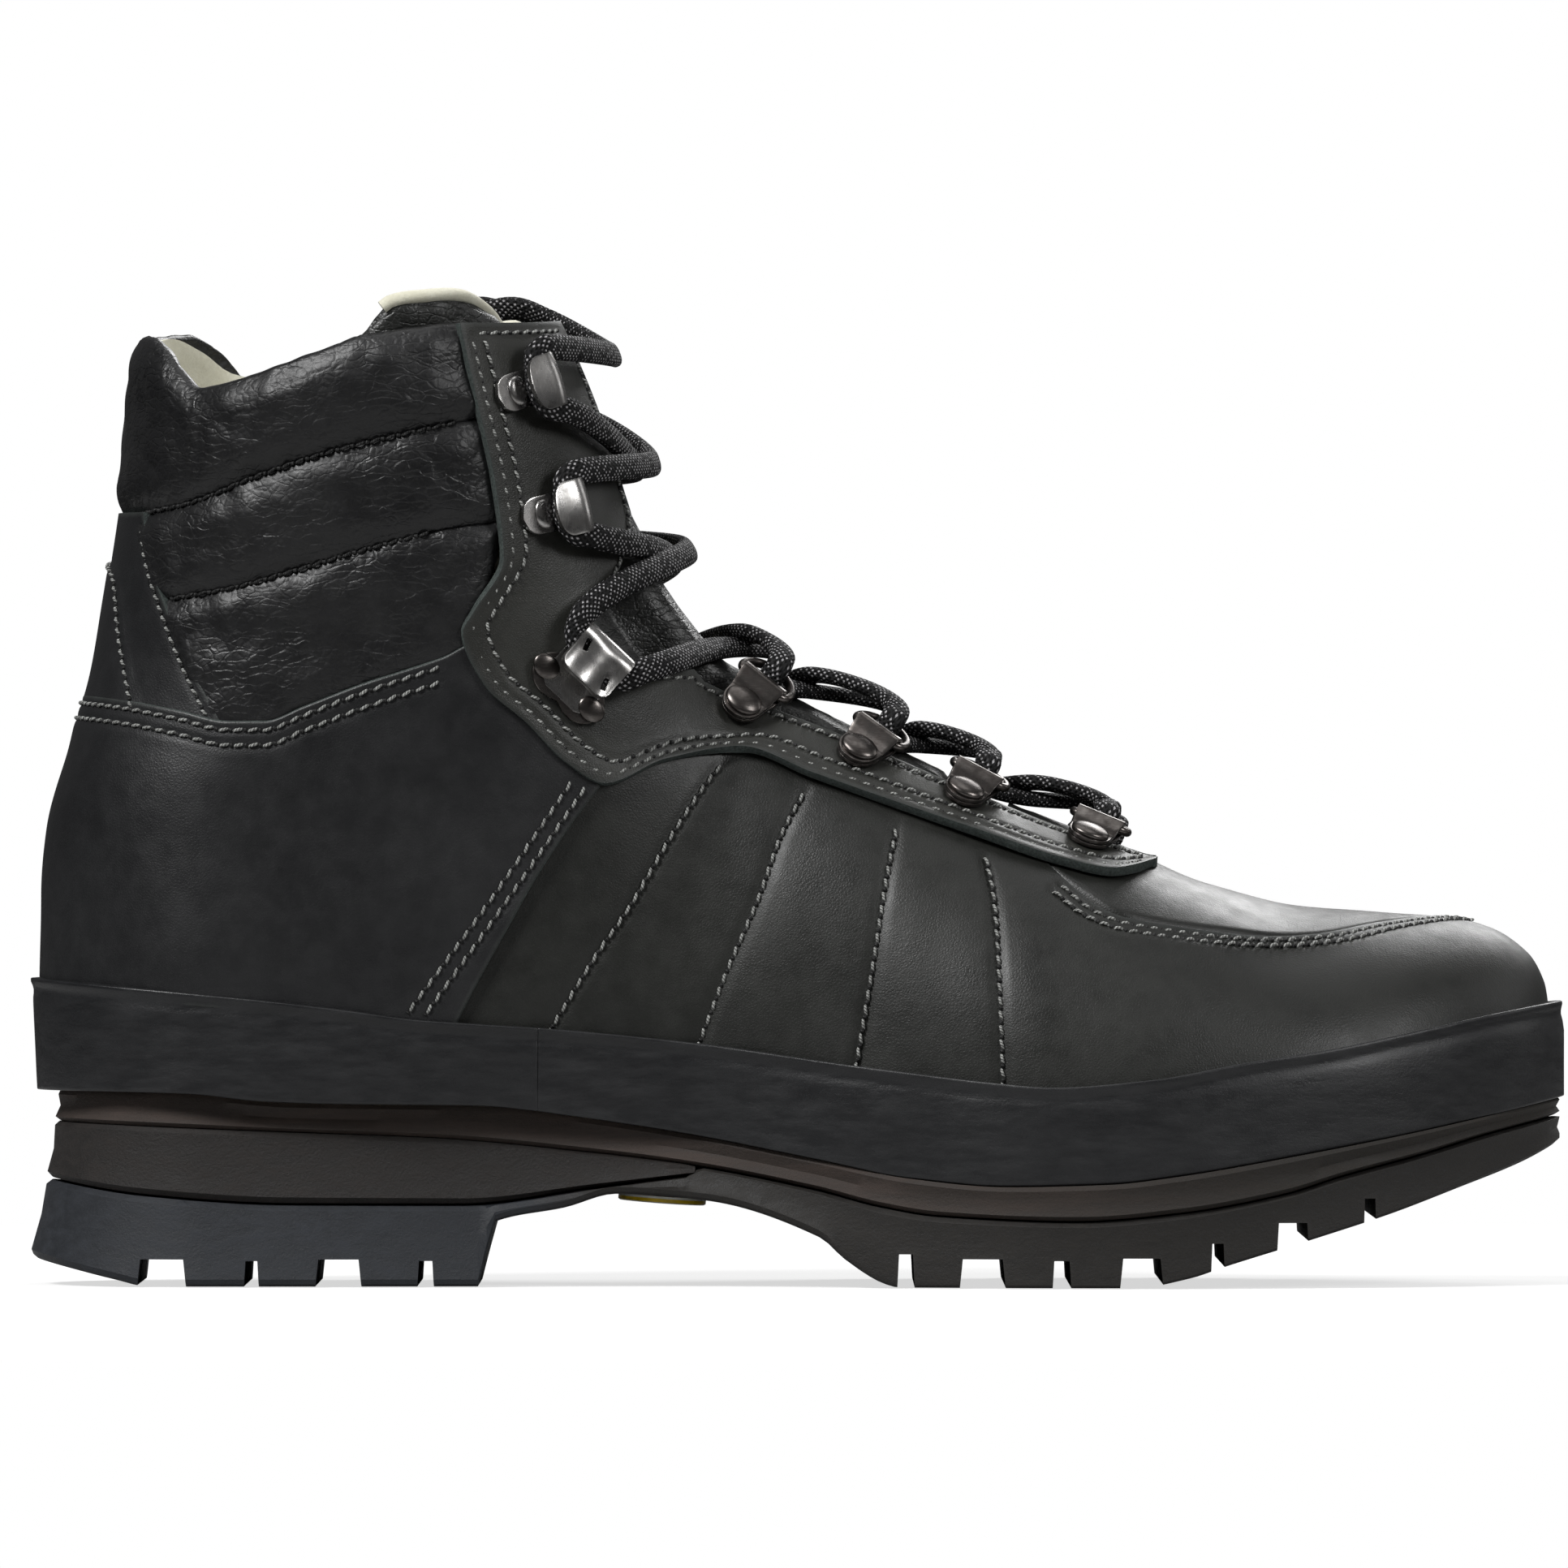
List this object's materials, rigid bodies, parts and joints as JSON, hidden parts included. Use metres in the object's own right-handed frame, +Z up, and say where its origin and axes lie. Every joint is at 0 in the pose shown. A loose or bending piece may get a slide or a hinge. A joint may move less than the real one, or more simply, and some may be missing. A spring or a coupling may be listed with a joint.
{
  "type": "mountaineering boot",
  "caption": "Black leather mountaineering boot with a padded ankle collar, a rubber rand round the foot, a lugged rubber sole and a lace through rings and hooks.",
  "frame": {"origin": "middle of the boot's bounding box seen from above, on the ground", "axes": "+X to the toe, -Y to the outer (lateral) side, +Z up"},
  "size_m": [0.3048, 0.1078, 0.1985],
  "materials": {
    "black_leather": "smooth, soft sheen",
    "collar_leather": "pebble grained, soft",
    "facing_leather": "smooth, satin",
    "pale_lining": "napped",
    "grey_rubber": "satin moulded",
    "blue_grey_rubber": "matt moulded",
    "brown_midsole": "matt foam rubber",
    "dark_brown_wedge": "matt textured",
    "fibre_board": "matt",
    "footbed_foam": "napped cloth over foam",
    "bright_steel": "brushed",
    "gunmetal": "antiqued, dark",
    "black_braid": "round braid with pale flecks",
    "plain_inlay": "satin moulded",
    "aglet_plastic": "smooth"
  },
  "bodies": {
    "boot": {"vamp": "black_leather", "vamp_plug": "black_leather", "heel_quarter": "black_leather", "backstay": "black_leather", "collar_upper": "collar_leather", "collar_middle_lateral": "collar_leather", "collar_middle_medial": "collar_leather", "collar_lower_lateral": "collar_leather", "collar_lower_medial": "collar_leather", "tongue": "collar_leather", "facing_lateral": "facing_leather", "facing_medial": "facing_leather", "lining_toe": "pale_lining", "lining_quarter": "pale_lining", "tongue_lining": "pale_lining", "rand_heel": "grey_rubber", "rand_toe": "grey_rubber", "outsole": "blue_grey_rubber", "midsole": "brown_midsole", "heel_wedge": "dark_brown_wedge", "insole_board": "fibre_board", "heel_counter": "fibre_board", "toe_puff": "fibre_board", "footbed": "footbed_foam", "shank": "bright_steel", "speed_hook_top_lateral": "bright_steel", "speed_hook_top_medial": "bright_steel", "speed_hook_low_lateral": "bright_steel", "speed_hook_low_medial": "bright_steel", "lock_hook_lateral": "bright_steel", "lock_hook_medial": "bright_steel", "ring_clip_1_lateral": "gunmetal", "ring_clip_1_medial": "gunmetal", "ring_clip_2_lateral": "gunmetal", "ring_clip_2_medial": "gunmetal", "ring_clip_3_lateral": "gunmetal", "ring_clip_3_medial": "gunmetal", "ring_clip_4_lateral": "gunmetal", "ring_clip_4_medial": "gunmetal", "clip_rivet_1_lateral": "gunmetal", "clip_rivet_1_medial": "gunmetal", "clip_rivet_2_lateral": "gunmetal", "clip_rivet_2_medial": "gunmetal", "clip_rivet_3_lateral": "gunmetal", "clip_rivet_3_medial": "gunmetal", "clip_rivet_4_lateral": "gunmetal", "clip_rivet_4_medial": "gunmetal", "lace": "black_braid", "arch_inlay": "plain_inlay", "lace_tip_first": "aglet_plastic", "lace_tip_second": "aglet_plastic"},
    "ring_1_lateral": {"lace_ring_1_lateral": "gunmetal"},
    "ring_1_medial": {"lace_ring_1_medial": "gunmetal"},
    "ring_2_lateral": {"lace_ring_2_lateral": "gunmetal"},
    "ring_2_medial": {"lace_ring_2_medial": "gunmetal"},
    "ring_3_lateral": {"lace_ring_3_lateral": "gunmetal"},
    "ring_3_medial": {"lace_ring_3_medial": "gunmetal"},
    "ring_4_lateral": {"lace_ring_4_lateral": "gunmetal"},
    "ring_4_medial": {"lace_ring_4_medial": "gunmetal"}
  },
  "joints": [
    {"name": "ring_1_lateral_hinge", "type": "hinge", "parent": "boot", "child": "ring_1_lateral", "pos_m": [-0.00698, -0.01724, 0.1187], "axis": [0.765, -0.2119, -0.6081], "range_deg": [-3, 3]},
    {"name": "ring_1_medial_hinge", "type": "hinge", "parent": "boot", "child": "ring_1_medial", "pos_m": [-0.00698, 0.01444, 0.1187], "axis": [-0.765, -0.2119, 0.6081], "range_deg": [-3, 3]},
    {"name": "ring_2_lateral_hinge", "type": "hinge", "parent": "boot", "child": "ring_2_lateral", "pos_m": [0.0158, -0.01652, 0.10895], "axis": [0.7754, -0.3008, -0.5552], "range_deg": [-3, 3]},
    {"name": "ring_2_medial_hinge", "type": "hinge", "parent": "boot", "child": "ring_2_medial", "pos_m": [0.0158, 0.01372, 0.10895], "axis": [-0.7754, -0.3008, 0.5552], "range_deg": [-3, 3]},
    {"name": "ring_3_lateral_hinge", "type": "hinge", "parent": "boot", "child": "ring_3_lateral", "pos_m": [0.0357, -0.01549, 0.1006], "axis": [0.868, -0.1777, -0.4636], "range_deg": [-3, 3]},
    {"name": "ring_3_medial_hinge", "type": "hinge", "parent": "boot", "child": "ring_3_medial", "pos_m": [0.03579, 0.01295, 0.10058], "axis": [-0.8635, -0.2044, 0.4612], "range_deg": [-3, 3]},
    {"name": "ring_4_lateral_hinge", "type": "hinge", "parent": "boot", "child": "ring_4_lateral", "pos_m": [0.05973, -0.01314, 0.09143], "axis": [0.91, -0.1748, -0.3759], "range_deg": [-3, 3]},
    {"name": "ring_4_medial_hinge", "type": "hinge", "parent": "boot", "child": "ring_4_medial", "pos_m": [0.05995, 0.01185, 0.09137], "axis": [-0.9002, -0.2266, 0.3718], "range_deg": [-3, 3]}
  ]
}
